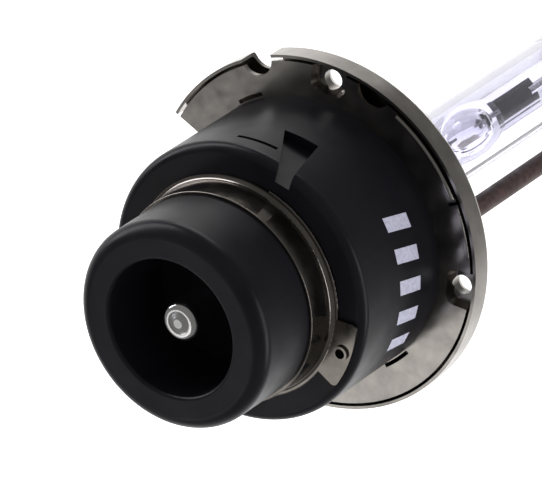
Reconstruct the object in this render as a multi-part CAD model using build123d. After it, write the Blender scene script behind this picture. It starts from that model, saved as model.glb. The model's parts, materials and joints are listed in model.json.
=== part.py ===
from build123d import *
from math import atan2, cos, degrees, hypot, radians, sin
import os

# A xenon headlamp bulb. It is modelled standing on its burner: Z is the bulb axis and
# rises from the flange's front seating face (Z = 0) towards the connector, so the
# burner lies below zero. Angles are as seen from the connector, with the key notch at
# 90. The finished pieces are then turned: burner along +Y, key notch towards +Z.
# Millimetres and degrees throughout.

# Flange: two stamped sheets, one inside the other's rim
RIM_RADIUS = 20.6
RIM_DEPTH = 2.8
RIM_WALL = 0.35
RIM_ROUND = 0.45
SHEET = 0.5
CARRIER_RADIUS = 19.9
HUB_RADIUS = 10.9
KEY_ANGLE, KEY_CENTRE, KEY_RADIUS = 90, 20.4, 2.0
RELIEF_ANGLE, RELIEF_CENTRE, RELIEF_RADIUS = 46.5, 20.3, 2.1
GAP_START, GAP_END, GAP_FLOOR = 129.5, 154.5, 16.4
PAD_ANGLES = (63, -27, 198)
PAD_HOLE_CENTRE, PAD_HOLE_RADIUS = 18.4, 1.1
PAD_INNER, PAD_OUTER, PAD_WIDTH = 16.5, 22.5, 5.4
PAD_DEPTH, PAD_CORNER, PAD_SLOPE = 1.1, 1.7, 22
BOSS_RADIUS, DIMPLE_RADIUS = 1.8, 1.4
SLIT_ANGLE, SLIT_WIDTH, SLIT_DEPTH = 2.9, 0.35, 1.1
CURL_START, CURL_END, CURL_WIDTH, CURL_HEIGHT = 4.5, 36.0, 0.7, 0.45
LIFT_START, LIFT_END, LIFT_HEIGHT = -15.0, 1.0, 0.2
CURL_SEAM = 0.01
SIDE_SLOTS = ((92.5, 104.5), (-77.0, -64.0))
SIDE_SLOT_INNER, SIDE_SLOT_OUTER = 16.15, 16.6

# Moulded drum behind the flange, and its boss in front of it
DRUM_RADIUS = 16.0
DRUM_LENGTH = 15.0
DRUM_ROUND = 1.0
CAVITY_RADIUS, CAVITY_FLOOR = 10.0, 7.0
BOSS_FRONT, FRONT_BOSS_RADIUS, FRONT_BOSS_ROUND = 2.0, 9.6, 0.5
LEG_BORE_RADIUS = 4.6
POCKET_ANGLE, POCKET_DEPTH, POCKET_LENGTH = 51.0, 1.3, 7.0
POCKET_FRONT, POCKET_REAR = (-1.0, 3.2), (-2.0, -0.5)
POCKET_RISE = 6.5
GROOVE_START, GROOVE_END, GROOVE_INSET = 56.5, 74.5, 2.7
GROOVE_WIDTH, GROOVE_DEPTH = 0.5, 0.4

# Connector: cup, contact ring and centre pin
CUP_RADIUS = 11.8
CUP_LENGTH = 13.0
CUP_ROUND = 1.6
MOUTH_RADIUS, MOUTH_DEPTH, MOUTH_ROUND = 7.8, 10.0, 0.4
SPIGOT_LENGTH, SPIGOT_GAP = 3.0, 0.05
BAND_RADIUS = 12.15
BAND_SEAT = 11.6
BAND_LENGTH = 4.2
FOOT_RADIUS, FOOT_THICKNESS, FOOT_ROUND = 12.9, 0.4, 0.5
STEP_START, STEP_END, STEP_RADIUS = 49.0, 180.0, 12.7
TAB_START, TAB_END, TAB_RADIUS = -56.5, -24.5, 15.3
EYE_ANGLE, EYE_CENTRE = -39.9, 14.1
EYE_RADIUS, EYE_COLLAR, EYE_HEIGHT = 0.575, 0.85, 0.3
PIN_RADIUS, PIN_ROOT_RADIUS = 2.2, 2.5
PIN_RECESS = 1.7
PIN_ROUND = 0.7
PIN_HEAD_RADIUS, PIN_HEAD_HEIGHT, PIN_STEM = 3.2, 1.2, 0.8
SOLDER_RADIUS, SOLDER_RECESS, SOLDER_BORE, SOLDER_DEPTH = 1.25, 0.5, 0.9, 2.0

# Burner: outer tube, arc tube, electrodes, foils and leads. Heights here are distances
# in front of the seating face.
ARC_CENTRE = 27.1
ARC_GAP = 4.2
TUBE_RADIUS, TUBE_WALL = 4.5, 1.1
TUBE_FOOT, TUBE_SHOULDER, TUBE_DOME, TUBE_TOP = 2.6, 4.4, 48.5, 51.2
LEG_RADIUS = 2.3
LEG_REAR, LEG_FRONT = -9.0, 52.2
BULGE_RADIUS, BULGE_LENGTH = 3.05, 10.6
CHAMBER_RADIUS, CHAMBER_LENGTH = 1.4, 8.0
ELECTRODE_RADIUS = 0.15
LEAD_RADIUS = 0.3
FOIL_START, FOIL_LENGTH, FOIL_WIDTH, FOIL_THICKNESS = 4.9, 9.5, 1.6, 0.08
FOIL_LAP = 1.2
SALT_LEVEL = 1.1

# Return path: wire, sleeve and strap
RETURN_ANGLE, RETURN_CENTRE = -90, 8.1
WIRE_RADIUS, WIRE_BEND = 0.4, 2.6
CROSSING = 53.6
LEAD_FRONT = 54.0
WELD_RADIUS = 0.8
SLEEVE_RADIUS, SLEEVE_BORE = 1.15, 0.55
SLEEVE_REAR, SLEEVE_FRONT = 0.85, 50.4
SEAT_RADIUS, SEAT_FLOOR = 1.3, 0.8
STRAP_FRONT, STRAP_WIDTH = 8.0, 2.0
POST_RADIUS, POST_END = 0.55, 17.2

# Burner holder
CLAMP_WALL, CLAMP_REAR, CLAMP_FRONT = 0.35, 4.6, 9.4
LUG_ANGLES = (45, 135, 225, 315)
LUG_WIDTH, LUG_THICKNESS, LUG_TOP = 3.0, 0.4, 8.4
LUG_FOOT_RADIUS, LUG_ROOT = 8.6, -3.0
CEMENT_REAR, CEMENT_FRONT = -6.5, 1.0

# Heights that follow from the sizes above
DRUM_REAR = RIM_DEPTH + DRUM_LENGTH
CUP_RIM = DRUM_REAR + CUP_LENGTH
PIN_TIP = CUP_RIM - PIN_RECESS
FAR = 100.0


def polar(radius, angle):
    return radius * cos(radians(angle)), radius * sin(radians(angle))


def at(radius, angle, height=0):
    """A place on a circle about the axis, with local X pointing away from the axis."""
    return Pos(*polar(radius, angle), height) * Rot(Z=angle)


def turned(*corners, arc=360, start=0):
    """Turn an outline about the axis. A corner is (radius, height), or with a rounding."""
    points = [corner[:2] for corner in corners]
    rounds = [corner[2] if len(corner) > 2 else 0 for corner in corners]
    outline = FilletPolyline(*points, radius=rounds, close=True)
    return Rot(Z=start) * revolve(Plane.XZ * make_face(outline), Axis.Z, arc)


def column(radius, bottom, top):
    return Pos(0, 0, bottom) * extrude(Circle(radius), top - bottom)


def hoop(outer, inner, bottom, top):
    return Pos(0, 0, bottom) * extrude(Circle(outer) - Circle(inner), top - bottom)


def sector(inner, outer, start, end, bottom, top):
    """Part of a flat ring, between two angles."""
    face = make_face(
        CenterArc((0, 0), outer, start, end - start)
        + Line(polar(outer, end), polar(inner, end))
        + CenterArc((0, 0), inner, end, start - end)
        + Line(polar(inner, start), polar(outer, start))
    )
    return Pos(0, 0, bottom) * extrude(face, top - bottom)


def peg(place, radius, bottom, top):
    return place * Pos(0, 0, bottom) * extrude(Circle(radius), top - bottom)


# ---------------------------------------------------------------- flange


def flange_cuts():
    """The key notch and the open sector, which go through both sheets."""
    key = peg(at(KEY_CENTRE, KEY_ANGLE), KEY_RADIUS, -1, RIM_DEPTH + 1)
    gap = sector(GAP_FLOOR, RIM_RADIUS + 1, GAP_START, GAP_END, -1, RIM_DEPTH + 1)
    return key + gap


def make_reference_ring():
    """Front sheet, with the rim that centres the bulb in the lamp."""
    inside = RIM_RADIUS - RIM_WALL
    ring = turned(
        (HUB_RADIUS, 0),
        (RIM_RADIUS, 0, RIM_ROUND),
        (RIM_RADIUS, RIM_DEPTH),
        (inside, RIM_DEPTH),
        (inside, SHEET, RIM_ROUND),
        (HUB_RADIUS, SHEET),
    )
    floor = RIM_DEPTH - PAD_DEPTH - SHEET
    for angle in PAD_ANGLES:
        place = at(PAD_HOLE_CENTRE, angle)
        outside = Pos(0, 0, SHEET) * extrude(
            Circle(BOSS_RADIUS), floor - SHEET, taper=PAD_SLOPE
        )
        dimple = extrude(Circle(DIMPLE_RADIUS), floor - SHEET, taper=PAD_SLOPE)
        ring = ring + place * outside - place * dimple
        ring -= peg(place, PAD_HOLE_RADIUS, -1, RIM_DEPTH)
    return ring - flange_cuts()


def pad_well(inset, depth):
    """One embossed well of the carrier plate, drawn in from the plate's rear face."""
    length = PAD_OUTER - PAD_INNER
    outline = RectangleRounded(
        length - 2 * inset, PAD_WIDTH - 2 * inset, PAD_CORNER - inset
    )
    middle = (PAD_INNER + PAD_OUTER) / 2
    return Pos(middle, 0, RIM_DEPTH) * extrude(outline, -depth, taper=PAD_SLOPE)


def edge_curl(start, end, height):
    """A stretch of the carrier's edge that is rolled towards the rear."""
    bottom = RIM_DEPTH - 0.1
    return turned(
        (CARRIER_RADIUS - CURL_WIDTH, bottom),
        (CARRIER_RADIUS, bottom),
        (CARRIER_RADIUS, RIM_DEPTH + height, height * 0.6),
        (CARRIER_RADIUS - CURL_WIDTH * 0.7, RIM_DEPTH + height, height * 0.3),
        arc=end - start,
        start=start,
    )


def make_carrier_plate():
    """Rear sheet: wells that reach down to the front sheet, notches, slots and slit."""
    bottom = RIM_DEPTH - SHEET
    plate = hoop(CARRIER_RADIUS, HUB_RADIUS, bottom, RIM_DEPTH)
    inside = column(CARRIER_RADIUS - CURL_SEAM, 0, RIM_DEPTH)
    for angle in PAD_ANGLES:
        turn = Rot(Z=angle)
        plate += inside & (turn * pad_well(0, PAD_DEPTH + SHEET))
        plate -= turn * pad_well(SHEET, PAD_DEPTH)
        plate -= peg(at(PAD_HOLE_CENTRE, angle), PAD_HOLE_RADIUS, -1, RIM_DEPTH + 1)
    plate += edge_curl(CURL_START, CURL_END, CURL_HEIGHT)
    plate += edge_curl(LIFT_START, LIFT_END, LIFT_HEIGHT)
    plate -= flange_cuts()
    relief = at(RELIEF_CENTRE, RELIEF_ANGLE)
    plate -= peg(relief, RELIEF_RADIUS, -1, RIM_DEPTH + 1)
    slit = Box(2 * SLIT_DEPTH, SLIT_WIDTH, 3 * SHEET)
    plate -= at(CARRIER_RADIUS, SLIT_ANGLE, RIM_DEPTH) * slit
    for start, end in SIDE_SLOTS:
        plate -= sector(
            SIDE_SLOT_INNER, SIDE_SLOT_OUTER, start, end, bottom - 1, RIM_DEPTH + 1
        )
    return plate


# ---------------------------------------------------------------- moulded base


def bayonet_pocket(angle):
    """A recess in the drum's side that narrows and grows shallower to the rear edge."""
    x, y = polar(DRUM_RADIUS - POCKET_DEPTH, angle)
    outward, along = polar(1, angle), polar(1, angle + 90)
    front = DRUM_REAR - POCKET_LENGTH
    side = Plane(origin=(x, y, front), x_dir=(*along, 0), z_dir=(*outward, 0))
    side = side.rotated((POCKET_RISE, 0, 0))
    outline = Polyline(
        (POCKET_FRONT[0], 0),
        (POCKET_FRONT[1], 0),
        (POCKET_REAR[1], POCKET_LENGTH + 1),
        (POCKET_REAR[0], POCKET_LENGTH + 1),
        close=True,
    )
    return extrude(side * make_face(outline), 2 * POCKET_DEPTH)


def drum_groove(turn):
    height = DRUM_REAR - GROOVE_INSET
    return sector(
        DRUM_RADIUS - GROOVE_DEPTH,
        DRUM_RADIUS + 1,
        GROOVE_START + turn,
        GROOVE_END + turn,
        height - GROOVE_WIDTH / 2,
        height + GROOVE_WIDTH / 2,
    )


def make_base_housing(embedded):
    """Drum, hub through the flange and front boss in one moulding."""
    housing = turned(
        (LEG_BORE_RADIUS, -BOSS_FRONT),
        (FRONT_BOSS_RADIUS, -BOSS_FRONT, FRONT_BOSS_ROUND),
        (FRONT_BOSS_RADIUS, 0),
        (HUB_RADIUS, 0),
        (HUB_RADIUS, RIM_DEPTH),
        (DRUM_RADIUS, RIM_DEPTH),
        (DRUM_RADIUS, DRUM_REAR, DRUM_ROUND),
        (CAVITY_RADIUS, DRUM_REAR),
        (CAVITY_RADIUS, CAVITY_FLOOR),
        (LEG_BORE_RADIUS, CAVITY_FLOOR),
    )
    for turn in (0, 180):
        housing -= bayonet_pocket(POCKET_ANGLE + turn)
        housing -= drum_groove(turn)
    eye = at(EYE_CENTRE, EYE_ANGLE)
    housing -= peg(eye, POST_RADIUS, STRAP_FRONT, FAR)
    seat = at(RETURN_CENTRE, RETURN_ANGLE)
    housing -= peg(seat, SEAT_RADIUS, -BOSS_FRONT - 1, -SEAT_FLOOR)
    for piece in embedded:
        housing -= piece
    return housing


def make_connector_cup():
    """Socket that the ballast plug goes over, with a spigot into the drum."""
    spigot = CAVITY_RADIUS - SPIGOT_GAP
    floor = CUP_RIM - MOUTH_DEPTH
    return turned(
        (PIN_ROOT_RADIUS, DRUM_REAR - SPIGOT_LENGTH),
        (spigot, DRUM_REAR - SPIGOT_LENGTH),
        (spigot, DRUM_REAR),
        (BAND_SEAT, DRUM_REAR),
        (BAND_SEAT, DRUM_REAR + BAND_LENGTH),
        (CUP_RADIUS, DRUM_REAR + BAND_LENGTH),
        (CUP_RADIUS, CUP_RIM, CUP_ROUND),
        (MOUTH_RADIUS, CUP_RIM, MOUTH_ROUND),
        (MOUTH_RADIUS, floor),
        (PIN_ROOT_RADIUS, floor),
    )


def make_contact_ring():
    """Outer contact: band on the cup, foot on the drum, and a tab with a drawn eye."""
    foot_rear = DRUM_REAR + FOOT_THICKNESS
    ring = turned(
        (BAND_SEAT, DRUM_REAR),
        (FOOT_RADIUS, DRUM_REAR),
        (FOOT_RADIUS, foot_rear, 0.15),
        (BAND_RADIUS, foot_rear, FOOT_ROUND),
        (BAND_RADIUS, DRUM_REAR + BAND_LENGTH, 0.1),
        (BAND_SEAT, DRUM_REAR + BAND_LENGTH),
    )
    ring -= sector(
        STEP_RADIUS, FOOT_RADIUS + 1, STEP_START, STEP_END, DRUM_REAR - 1, foot_rear + 1
    )
    tab = sector(BAND_RADIUS, TAB_RADIUS, TAB_START, TAB_END, DRUM_REAR, foot_rear)
    corners = tab.edges().filter_by(Axis.Z).sort_by(
        lambda edge: hypot(edge.center().X, edge.center().Y)
    )
    tab = fillet(corners[-2:], 0.6)
    eye = at(EYE_CENTRE, EYE_ANGLE)
    collar = peg(eye, EYE_COLLAR, foot_rear, foot_rear + EYE_HEIGHT)
    hole = peg(eye, EYE_RADIUS, DRUM_REAR - 1, foot_rear + 1)
    return ring + tab + collar - hole


def make_centre_pin():
    """Hollow contact pin, headed behind the cup's floor and dished at its tip."""
    shoulder = DRUM_REAR - SPIGOT_LENGTH
    head = shoulder - PIN_HEAD_HEIGHT
    return turned(
        (SOLDER_BORE, head - PIN_STEM),
        (PIN_ROOT_RADIUS, head - PIN_STEM),
        (PIN_ROOT_RADIUS, head),
        (PIN_HEAD_RADIUS, head),
        (PIN_HEAD_RADIUS, shoulder),
        (PIN_ROOT_RADIUS, shoulder),
        (PIN_ROOT_RADIUS, CUP_RIM - MOUTH_DEPTH),
        (PIN_RADIUS, CUP_RIM - MOUTH_DEPTH),
        (PIN_RADIUS, PIN_TIP, PIN_ROUND),
        (SOLDER_RADIUS, PIN_TIP, 0.1),
        (SOLDER_RADIUS, PIN_TIP - SOLDER_RECESS),
        (SOLDER_BORE, PIN_TIP - SOLDER_RECESS),
    )


def make_pin_solder(rear_lead):
    """Solder that fills the pin's dished tip around the lead."""
    fill = turned(
        (0, PIN_TIP - SOLDER_DEPTH),
        (SOLDER_BORE, PIN_TIP - SOLDER_DEPTH),
        (SOLDER_BORE, PIN_TIP - SOLDER_RECESS),
        (SOLDER_RADIUS, PIN_TIP - SOLDER_RECESS),
        (SOLDER_RADIUS, PIN_TIP - 0.15),
        (0.55, PIN_TIP + 0.2, 0.4),
        (0, PIN_TIP + 0.2),
    )
    return fill - rear_lead


# ---------------------------------------------------------------- burner


def chamber(shrink=0):
    """The arc chamber's hollow, an ellipsoid."""
    width, length = CHAMBER_RADIUS - shrink, CHAMBER_LENGTH / 2 - shrink
    half = make_face(
        EllipticalCenterArc((0, 0), width, length, -90, arc_size=180) + Line((0, length), (0, -length))
    )
    return Pos(0, 0, -ARC_CENTRE) * revolve(Plane.XZ * half, Axis.Z)


def make_foil(side):
    """A sealing foil. Side is 1 for the rear leg and -1 for the front leg."""
    middle = -ARC_CENTRE + side * (FOIL_START + FOIL_LENGTH / 2)
    foil = Box(FOIL_THICKNESS, FOIL_WIDTH, FOIL_LENGTH)
    return Pos(0, 0, middle) * foil


def make_electrode(side, foil):
    tip = -ARC_CENTRE + side * ARC_GAP / 2
    root = -ARC_CENTRE + side * (FOIL_START + FOIL_LAP)
    rod = column(ELECTRODE_RADIUS, min(tip, root), max(tip, root))
    end = rod.faces().sort_by(Axis.Z)[-1 if side < 0 else 0]
    return fillet(end.edges(), ELECTRODE_RADIUS * 0.7) - foil


def make_rear_lead(foil):
    start = -ARC_CENTRE + FOIL_START + FOIL_LENGTH - FOIL_LAP
    return column(LEAD_RADIUS, start, PIN_TIP - 0.1) - foil


def make_front_lead(foil):
    start = -ARC_CENTRE - FOIL_START - FOIL_LENGTH + FOIL_LAP
    return column(LEAD_RADIUS, -LEAD_FRONT, start) - foil


def make_arc_tube(embedded):
    """Quartz burner: a bulge with a sealed leg on each side."""
    bulge_front = -ARC_CENTRE - BULGE_LENGTH / 2
    bulge_rear = -ARC_CENTRE + BULGE_LENGTH / 2
    outline = (
        Polyline(
            (LEG_RADIUS, bulge_rear),
            (LEG_RADIUS, -LEG_REAR),
            (0, -LEG_REAR),
            (0, -LEG_FRONT),
            (0.9, -LEG_FRONT),
        )
        + RadiusArc((0.9, -LEG_FRONT), (LEG_RADIUS, -TUBE_TOP), -1.9)
        + Line((LEG_RADIUS, -TUBE_TOP), (LEG_RADIUS, bulge_front))
        + ThreePointArc(
            (LEG_RADIUS, bulge_front), (BULGE_RADIUS, -ARC_CENTRE), (LEG_RADIUS, bulge_rear)
        )
    )
    tube = revolve(Plane.XZ * make_face(outline), Axis.Z) - chamber()
    for piece in embedded:
        tube -= piece
    return tube


def make_halide_salts():
    """Salt that has settled at the bottom of the chamber, as the bulb lies in use."""
    low = Pos(0, -SALT_LEVEL - 1, -ARC_CENTRE) * Box(2, 2, CHAMBER_LENGTH / 2)
    return chamber() & low


def make_outer_bulb():
    """Outer quartz tube, closed onto the burner's legs at both ends."""
    inside = TUBE_RADIUS - TUBE_WALL
    return turned(
        (LEG_RADIUS, -TUBE_FOOT),
        (TUBE_RADIUS * 0.75, -TUBE_FOOT, 0.5),
        (TUBE_RADIUS, -TUBE_SHOULDER, 1.2),
        (TUBE_RADIUS, -TUBE_TOP, 2.2),
        (LEG_RADIUS, -TUBE_TOP),
        (LEG_RADIUS, -TUBE_DOME - 1.0),
        (inside, -TUBE_DOME - 1.0, 1.0),
        (inside, -TUBE_SHOULDER - 0.9, 1.0),
        (LEG_RADIUS, -TUBE_SHOULDER - 0.9),
    )


# ---------------------------------------------------------------- return path


def make_return_wire():
    """Wire from the burner's tip, round a bend and back along the burner."""
    x, y = polar(RETURN_CENTRE, RETURN_ANGLE)
    route = FilletPolyline(
        (x, y, STRAP_FRONT), (x, y, -CROSSING), (x, y / abs(y) * LEAD_RADIUS, -CROSSING),
        radius=WIRE_BEND,
    )
    return sweep(Plane((x, y, STRAP_FRONT)) * Circle(WIRE_RADIUS), path=route)


def make_tip_weld(wires):
    weld = Pos(0, 0, -CROSSING) * Sphere(WELD_RADIUS)
    for wire in wires:
        weld -= wire
    return weld


def make_return_terminal():
    """Moulded-in strap from the return wire to a post under the contact ring's eye."""
    start = Vector(*polar(RETURN_CENTRE, RETURN_ANGLE))
    end = Vector(*polar(EYE_CENTRE, EYE_ANGLE))
    run, middle = end - start, (start + end) / 2
    strap = SlotCenterToCenter(run.length, STRAP_WIDTH)
    turn = degrees(atan2(run.Y, run.X))
    strap = Pos(middle.X, middle.Y, STRAP_FRONT) * Rot(Z=turn) * extrude(strap, SHEET)
    return strap + peg(at(EYE_CENTRE, EYE_ANGLE), POST_RADIUS, STRAP_FRONT, POST_END)


def make_ceramic_sleeve():
    bore = Circle(SLEEVE_RADIUS) - Circle(SLEEVE_BORE)
    tube = extrude(bore, SLEEVE_FRONT - SLEEVE_REAR)
    x, y = polar(RETURN_CENTRE, RETURN_ANGLE)
    return Pos(x, y, -SLEEVE_FRONT) * tube


# ---------------------------------------------------------------- burner holder


def make_clamp_band():
    return hoop(TUBE_RADIUS + CLAMP_WALL, TUBE_RADIUS, -CLAMP_FRONT, -CLAMP_REAR)


def make_lug(angle):
    """A bent strap: root in the moulding, foot on the boss, and an arm up the band."""
    inner = TUBE_RADIUS + CLAMP_WALL
    outline = Polyline(
        (inner, -LUG_TOP),
        (inner + LUG_THICKNESS, -LUG_TOP),
        (inner + LUG_THICKNESS, -BOSS_FRONT - LUG_THICKNESS),
        (LUG_FOOT_RADIUS, -BOSS_FRONT - LUG_THICKNESS),
        (LUG_FOOT_RADIUS, -LUG_ROOT),
        (LUG_FOOT_RADIUS - LUG_THICKNESS, -LUG_ROOT),
        (LUG_FOOT_RADIUS - LUG_THICKNESS, -BOSS_FRONT),
        (inner, -BOSS_FRONT),
        close=True,
    )
    lug = extrude(Plane.XZ * make_face(outline), LUG_WIDTH / 2, both=True)
    return Rot(Z=angle) * (lug - column(inner, -CLAMP_FRONT, 0))


def make_retaining_lugs():
    lugs = [make_lug(angle) for angle in LUG_ANGLES]
    return lugs[0] + lugs[1:]


def make_potting_cement():
    return hoop(LEG_BORE_RADIUS, LEG_RADIUS, -CEMENT_FRONT, -CEMENT_REAR)


# ---------------------------------------------------------------- assembly

rear_foil, front_foil = make_foil(1), make_foil(-1)
rear_electrode = make_electrode(1, rear_foil)
front_electrode = make_electrode(-1, front_foil)
rear_lead, front_lead = make_rear_lead(rear_foil), make_front_lead(front_foil)
return_wire = make_return_wire()
return_terminal = make_return_terminal()
retaining_lugs = make_retaining_lugs()

pieces = {
    "reference_ring": make_reference_ring(),
    "carrier_plate": make_carrier_plate(),
    "base_housing": make_base_housing([return_wire, return_terminal, retaining_lugs]),
    "connector_cup": make_connector_cup(),
    "contact_ring": make_contact_ring(),
    "centre_pin": make_centre_pin(),
    "pin_solder": make_pin_solder(rear_lead),
    "outer_bulb": make_outer_bulb(),
    "arc_tube": make_arc_tube(
        [rear_foil, front_foil, rear_electrode, front_electrode, rear_lead, front_lead]
    ),
    "halide_salts": make_halide_salts(),
    "rear_electrode": rear_electrode,
    "front_electrode": front_electrode,
    "rear_foil": rear_foil,
    "front_foil": front_foil,
    "rear_lead": rear_lead,
    "front_lead": front_lead,
    "return_wire": return_wire,
    "tip_weld": make_tip_weld([return_wire, front_lead]),
    "return_terminal": return_terminal,
    "ceramic_sleeve": make_ceramic_sleeve(),
    "clamp_band": make_clamp_band(),
    "retaining_lugs": retaining_lugs,
    "potting_cement": make_potting_cement(),
}

os.makedirs("parts", exist_ok=True)
for name, piece in pieces.items():
    export_step(Rot(X=90) * piece, f"parts/{name}.step")
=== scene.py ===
import json
from math import cos, radians, sin

import bpy
from mathutils import Matrix, Vector


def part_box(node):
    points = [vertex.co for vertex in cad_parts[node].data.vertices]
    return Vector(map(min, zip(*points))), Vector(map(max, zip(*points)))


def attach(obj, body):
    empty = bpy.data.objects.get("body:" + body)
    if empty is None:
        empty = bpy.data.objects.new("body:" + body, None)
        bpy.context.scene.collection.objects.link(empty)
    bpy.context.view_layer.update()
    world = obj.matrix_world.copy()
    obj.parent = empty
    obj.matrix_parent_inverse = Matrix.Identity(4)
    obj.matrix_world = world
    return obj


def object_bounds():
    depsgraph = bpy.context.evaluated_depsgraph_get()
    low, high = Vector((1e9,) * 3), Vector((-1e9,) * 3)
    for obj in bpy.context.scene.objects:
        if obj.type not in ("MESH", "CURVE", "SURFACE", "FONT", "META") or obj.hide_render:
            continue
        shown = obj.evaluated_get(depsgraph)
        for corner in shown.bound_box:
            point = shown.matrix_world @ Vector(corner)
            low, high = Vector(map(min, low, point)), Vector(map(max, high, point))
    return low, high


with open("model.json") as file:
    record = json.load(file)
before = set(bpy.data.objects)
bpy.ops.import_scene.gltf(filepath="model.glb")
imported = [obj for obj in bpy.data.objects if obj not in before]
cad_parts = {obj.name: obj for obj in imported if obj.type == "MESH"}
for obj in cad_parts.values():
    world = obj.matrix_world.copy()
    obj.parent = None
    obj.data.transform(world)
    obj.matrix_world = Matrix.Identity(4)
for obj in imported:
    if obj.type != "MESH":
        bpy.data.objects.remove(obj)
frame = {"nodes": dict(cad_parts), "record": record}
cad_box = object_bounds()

# A xenon headlamp bulb, in metres: burner along +Y, key notch towards +Z.
MM = 0.001


# ---------------------------------------------------------------- materials


class Finish:
    """A node material under construction, with short calls for the nodes it needs."""

    def __init__(self, name):
        self.material = bpy.data.materials.new(name)
        self.material.use_nodes = True
        self.tree = self.material.node_tree
        self.shader = self.tree.nodes["Principled BSDF"]
        self.place = self.tree.nodes.new("ShaderNodeTexCoord").outputs["Object"]

    def set(self, **values):
        for name, value in values.items():
            self.shader.inputs[name.replace("_", " ")].default_value = value
        return self

    def link(self, source, target):
        self.tree.links.new(source, target)

    def node(self, kind, **inputs):
        made = self.tree.nodes.new(kind)
        for name, value in inputs.items():
            made.inputs[name.replace("_", " ")].default_value = value
        return made

    def stretched(self, scale):
        """Object coordinates, stretched so that a texture runs in streaks."""
        mapping = self.node("ShaderNodeMapping", Scale=scale)
        self.link(self.place, mapping.inputs["Vector"])
        return mapping.outputs["Vector"]

    def noise(self, scale, detail=4.0, stretch=None, roughness=0.55):
        made = self.node("ShaderNodeTexNoise", Scale=scale, Detail=detail, Roughness=roughness)
        place = self.stretched(stretch) if stretch else self.place
        self.link(place, made.inputs["Vector"])
        return made.outputs["Fac"]

    def ramp(self, source, stops):
        """Colours by a source's value. Each stop is a position and a colour."""
        made = self.tree.nodes.new("ShaderNodeValToRGB")
        elements = made.color_ramp.elements
        while len(elements) < len(stops):
            elements.new(0.5)
        for element, (position, colour) in zip(elements, stops):
            element.position = position
            element.color = (*colour, 1)
        self.link(source, made.inputs["Fac"])
        return made.outputs["Color"]

    def spread(self, source, low, high):
        """Widens a noise's middle range to run from low to high."""
        made = self.node(
            "ShaderNodeMapRange", From_Min=0.3, From_Max=0.7, To_Min=low, To_Max=high
        )
        self.link(source, made.inputs["Value"])
        return made.outputs["Result"]

    def colour(self, source):
        self.link(source, self.shader.inputs["Base Color"])
        return self

    def roughness(self, source):
        self.link(source, self.shader.inputs["Roughness"])
        return self

    def bump(self, *layers):
        """Each layer is a height source and how deep it is, in metres."""
        below = None
        for source, depth in layers:
            made = self.node("ShaderNodeBump", Strength=1.0, Distance=depth)
            self.link(source, made.inputs["Height"])
            if below:
                self.link(below, made.inputs["Normal"])
            below = made.outputs["Normal"]
        self.link(below, self.shader.inputs["Normal"])
        return self


def grey(value, warmth):
    """A grey, pushed towards yellow by its warmth."""
    return value * (1 + warmth), value, value * (1 - warmth)


def steel(name, dark, light, rough_low, rough_high, warmth, ripple=6e-6):
    """Rolled sheet: fine grain, soft stains, and a slight ripple from pressing."""
    made = Finish(name).set(Metallic=1.0)
    stain = made.noise(170, 5)
    grain = made.noise(2600, 3, stretch=(1.0, 0.25, 1.0))
    made.colour(made.ramp(stain, [(0.3, grey(dark, warmth)), (0.72, grey(light, warmth))]))
    made.roughness(made.spread(made.noise(420, 6), rough_low, rough_high))
    return made.bump((made.noise(230, 2), ripple), (grain, 0.5e-6)).material


def moulded_plastic():
    """Black glass-filled moulding: satin, with a fine pebbled skin and faintly greyer patches."""
    made = Finish("black_moulding").set(Specular_IOR_Level=0.22)
    dark, light = (0.0022, 0.0020, 0.0032), (0.005, 0.0046, 0.0068)
    made.colour(made.ramp(made.noise(120, 6), [(0.3, dark), (0.75, light)]))
    made.roughness(made.spread(made.noise(300, 5), 0.28, 0.40))
    return made.bump((made.noise(4200, 3), 2.2e-6), (made.noise(700, 2), 4e-6)).material


def quartz(name, tint, smoky):
    """Drawn quartz: clear, with faint draw lines along the tube and a little haze."""
    made = Finish(name).set(Transmission_Weight=1.0, IOR=1.46)
    drawn = made.noise(900, 3, stretch=(1.0, 0.04, 1.0))
    made.colour(made.ramp(made.noise(150, 4), [(0.35, smoky), (0.7, tint)]))
    made.roughness(made.spread(made.noise(500, 4), 0.0, 0.035))
    return made.bump((drawn, 5e-6)).material


def ceramic():
    """Dark brown fired sleeve, matt, with speckle and rubbed highlights."""
    made = Finish("ceramic").set(Specular_IOR_Level=0.4)
    speckle = made.noise(1500, 6)
    dark, light = (0.022, 0.011, 0.010), (0.062, 0.034, 0.030)
    made.colour(made.ramp(speckle, [(0.35, dark), (0.7, light)]))
    made.roughness(made.spread(made.noise(600, 4), 0.38, 0.6))
    return made.bump((speckle, 5e-6)).material


def crusted(name, dark, light, rough, depth):
    """A lumpy surface of two mingled colours."""
    made = Finish(name)
    lumps = made.noise(1600, 8, roughness=0.7)
    made.colour(made.ramp(lumps, [(0.35, dark), (0.68, light)]))
    made.roughness(made.spread(made.noise(900, 3), rough - 0.1, rough + 0.1))
    return made.bump((lumps, depth)).material


def ink():
    """Pad-printed ink: thin, pale, a little broken at its edges."""
    made = Finish("print_ink").set(Specular_IOR_Level=0.3)
    blotch = made.noise(2500, 5)
    dark, light = (0.24, 0.24, 0.30), (0.36, 0.36, 0.44)
    made.colour(made.ramp(blotch, [(0.25, dark), (0.7, light)]))
    made.roughness(made.spread(blotch, 0.45, 0.6))
    return made.bump((blotch, 3e-6)).material


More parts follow.
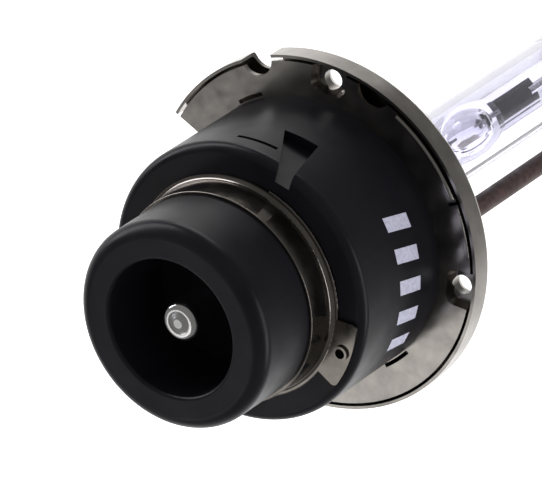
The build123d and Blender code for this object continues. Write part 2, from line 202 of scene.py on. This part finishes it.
FINISHES = {
    "flange_steel": steel("flange_steel", 0.30, 0.47, 0.12, 0.26, 0.07, 2.4e-5),
    "contact_steel": steel("contact_steel", 0.15, 0.29, 0.12, 0.24, 0.10),
    "pin_nickel": steel("pin_nickel", 0.74, 0.90, 0.12, 0.24, 0.015),
    "solder": steel("solder", 0.58, 0.82, 0.25, 0.42, 0.01, 3e-5),
    "black_moulding": moulded_plastic(),
    "quartz_outer": quartz("quartz_outer", (0.93, 0.925, 0.985), (0.86, 0.85, 0.94)),
    "quartz_burner": quartz("quartz_burner", (0.93, 0.93, 0.97), (0.82, 0.81, 0.88)),
    "salts": crusted("salts", (0.55, 0.50, 0.36), (0.80, 0.77, 0.62), 0.6, 2e-5),
    "tungsten": crusted("tungsten", (0.20, 0.18, 0.19), (0.42, 0.39, 0.40), 0.45, 1e-5),
    "foil": steel("foil", 0.66, 0.86, 0.30, 0.45, 0.08, 2.5e-5),
    "lead_wire": steel("lead_wire", 0.36, 0.54, 0.2, 0.34, 0.04),
    "ceramic": ceramic(),
    "cement": crusted("cement", (0.50, 0.48, 0.43), (0.74, 0.72, 0.66), 0.85, 4e-5),
}


def dress_cad_nodes():
    for part in frame["record"]["subparts"]:
        finish = FINISHES[part["material_slot"]]
        mesh = frame["nodes"][part["node"]].data
        if not mesh.materials:
            mesh.materials.append(finish)
        for index in range(len(mesh.materials)):
            mesh.materials[index] = finish


# ---------------------------------------------------------------- printed mark

BAR_COUNT = 5
BAR_START, BAR_PITCH = 7.0, 13.0         # degrees about the bulb's axis
BAR_WIDTH, BAR_SLANT = 6.0, 3.0
BAR_FRONT, BAR_REAR = -6.6 * MM, -10.6 * MM
INK_LIFT, INK_THICKNESS = 0.012 * MM, 0.02 * MM


def skin_patch(radius, corners, steps=8):
    """A four-cornered patch bent round the drum. Corners are (angle, y), in order."""
    points = []
    for row in range(steps + 1):
        for column in range(2):
            t = row / steps
            low, high = corners[column], corners[3 - column]
            angle = low[0] + (high[0] - low[0]) * t
            y = low[1] + (high[1] - low[1]) * t
            points.append((radius * cos(radians(angle)), y, radius * sin(radians(angle))))
    faces = [(2 * i, 2 * i + 1, 2 * i + 3, 2 * i + 2) for i in range(steps)]
    return points, faces


def make_print():
    """A plain row of slanted bars, as a generic mark, printed round the drum."""
    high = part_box("base_housing")[1]
    radius = high[0] + INK_LIFT
    points, faces = [], []
    for number in range(BAR_COUNT):
        start = BAR_START - BAR_PITCH * number
        end = start - BAR_WIDTH
        corners = [
            (start, BAR_FRONT),
            (end, BAR_FRONT),
            (end + BAR_SLANT, BAR_REAR),
            (start + BAR_SLANT, BAR_REAR),
        ]
        more, quads = skin_patch(radius, corners)
        faces += [tuple(len(points) + index for index in quad) for quad in quads]
        points += more
    mesh = bpy.data.meshes.new("drum_print")
    mesh.from_pydata(points, [], faces)
    mesh.materials.append(ink())
    piece = bpy.data.objects.new("drum_print", mesh)
    bpy.context.scene.collection.objects.link(piece)
    shell = piece.modifiers.new("ink_film", "SOLIDIFY")
    shell.thickness = INK_THICKNESS
    shell.offset = 0
    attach(piece, "lamp")


# ---------------------------------------------------------------- camera, light, floor

AXIS_TILT = radians(41.0)       # between the bulb axis and the line of sight
TURN = radians(-70.5)           # turn of the picture's lower-right direction about the axis
ROLL = radians(33.4)            # slope of the bulb axis in the picture
DISTANCE = 0.700
LENS, SENSOR = 428.7, 36.0
FLANGE_REAR = -2.8 * MM         # the height on the axis that the aim is measured from
AIM_RIGHT, AIM_UP = 4.65 * MM, 1.79 * MM
FLOOR_HALF = 0.9
FLOOR_DROP = 0.10               # the bulb is held clear of the table top
FLOOR_GLOW = 0.8
WHITE, COOL = (1, 1, 1), (0.93, 0.94, 1.0)
OPEN_LIGHT = 0.9                # the room's brightness, except in plain reflections
ROOM_FADE = (0.25, 0.8)         # how far along the line of sight a reflection brightens
ROOM_LEVELS = (0.16, 1.3)


def picture_directions():
    """The picture's right, up and forward directions."""
    across = Vector((cos(TURN), 0, sin(TURN)))
    upper = Vector((-sin(TURN), 0, cos(TURN)))
    axis = Vector((0, 1, 0))
    forward = cos(AXIS_TILT) * axis - sin(AXIS_TILT) * upper
    along = sin(AXIS_TILT) * axis + cos(AXIS_TILT) * upper
    right = cos(ROLL) * along + sin(ROLL) * across
    up = sin(ROLL) * along - cos(ROLL) * across
    return right, up, forward


RIGHT, UP, FORWARD = picture_directions()


def add_camera():
    place = Vector((0, FLANGE_REAR, 0)) - AIM_RIGHT * RIGHT - AIM_UP * UP - DISTANCE * FORWARD
    data = bpy.data.cameras.new("camera")
    data.lens, data.sensor_width = LENS, SENSOR
    data.clip_start = 0.01
    camera = bpy.data.objects.new("camera", data)
    turn = Matrix((RIGHT, UP, -FORWARD)).transposed().to_4x4()
    camera.matrix_world = Matrix.Translation(place) @ turn
    bpy.context.scene.collection.objects.link(camera)
    bpy.context.scene.camera = camera


def add_softbox(name, direction, distance, width, height, power, colour=WHITE):
    """An area light that faces the bulb. Its direction is right, up and towards the camera."""
    right, up, towards = direction
    way = (right * RIGHT + up * UP - towards * FORWARD).normalized()
    data = bpy.data.lights.new(name, "AREA")
    data.shape = "RECTANGLE"
    data.size, data.size_y = width, height
    data.energy = power
    data.color = colour
    light = bpy.data.objects.new(name, data)
    facing = way.to_track_quat("Z", "Y").to_matrix().to_4x4()
    light.matrix_world = Matrix.Translation(way * distance) @ facing
    bpy.context.scene.collection.objects.link(light)


def plain_reflection(tree, path):
    """One for rays mirrored off a surface, nought for those that went through the quartz."""
    opaque = tree.nodes.new("ShaderNodeMath")
    opaque.operation = "SUBTRACT"
    opaque.inputs[0].default_value = 1.0
    both = tree.nodes.new("ShaderNodeMath")
    both.operation = "MULTIPLY"
    tree.links.new(path.outputs["Is Transmission Ray"], opaque.inputs[1])
    tree.links.new(path.outputs["Is Glossy Ray"], both.inputs[0])
    tree.links.new(opaque.outputs["Value"], both.inputs[1])
    return both.outputs["Value"]


def room_fade(tree):
    """Brightness of the room in plain reflections: dark on the camera's side."""
    place = tree.nodes.new("ShaderNodeTexCoord")
    depth = tree.nodes.new("ShaderNodeVectorMath")
    depth.operation = "DOT_PRODUCT"
    depth.inputs[1].default_value = FORWARD
    fade = tree.nodes.new("ShaderNodeMapRange")
    fade.inputs["From Min"].default_value, fade.inputs["From Max"].default_value = ROOM_FADE
    fade.inputs["To Min"].default_value, fade.inputs["To Max"].default_value = ROOM_LEVELS
    tree.links.new(place.outputs["Generated"], depth.inputs[0])
    tree.links.new(depth.outputs["Value"], fade.inputs["Value"])
    return fade.outputs["Result"]


def add_room():
    """White behind the bulb, an even light on it, and graded walls in its reflections."""
    world = bpy.data.worlds.new("studio")
    world.use_nodes = True
    tree = world.node_tree
    background = tree.nodes["Background"]
    background.inputs["Strength"].default_value = 1.0
    path = tree.nodes.new("ShaderNodeLightPath")
    level = tree.nodes.new("ShaderNodeMix")
    level.data_type = "FLOAT"
    level.inputs["A"].default_value = OPEN_LIGHT
    tree.links.new(plain_reflection(tree, path), level.inputs["Factor"])
    tree.links.new(room_fade(tree), level.inputs["B"])
    seen = tree.nodes.new("ShaderNodeMix")
    seen.data_type = "RGBA"
    seen.inputs["B"].default_value = (*WHITE, 1)
    tree.links.new(level.outputs["Result"], seen.inputs["A"])
    tree.links.new(path.outputs["Is Camera Ray"], seen.inputs["Factor"])
    tree.links.new(seen.outputs["Result"], background.inputs["Color"])
    bpy.context.scene.world = world
    bpy.context.scene.view_settings.view_transform = "Standard"


def add_lights():
    add_softbox("left_box", (-1.0, 0.75, 0.0), 0.45, 0.16, 0.50, 1.3, COOL)
    add_softbox("top_box", (0.1, 1.0, -0.15), 0.50, 0.40, 0.16, 0.5)
    add_softbox("right_box", (1.0, -0.35, 0.35), 0.45, 0.14, 0.46, 0.7, COOL)
    add_softbox("low_left_box", (-0.83, -0.75, 0.15), 0.60, 0.26, 0.20, 0.15)


def add_floor():
    """A pale, faintly glowing table top that lets the low light through from below."""
    level = cad_box[0][2] - FLOOR_DROP
    sides = [(-1, -1), (1, -1), (1, 1), (-1, 1)]
    mesh = bpy.data.meshes.new("floor")
    corners = [(FLOOR_HALF * x, FLOOR_HALF * y, level) for x, y in sides]
    mesh.from_pydata(corners, [], [(0, 1, 2, 3)])
    made = Finish("floor").set(Roughness=0.6)
    made.colour(made.ramp(made.noise(30, 3), [(0.3, grey(0.90, 0)), (0.7, grey(0.93, 0))]))
    made.set(Emission_Color=(*WHITE, 1), Emission_Strength=FLOOR_GLOW)
    mesh.materials.append(made.material)
    floor = bpy.data.objects.new("floor", mesh)
    bpy.context.scene.collection.objects.link(floor)
    floor.visible_glossy = False
    floor.visible_shadow = False


add_camera()
dress_cad_nodes()
make_print()
add_floor()
add_lights()
add_room()
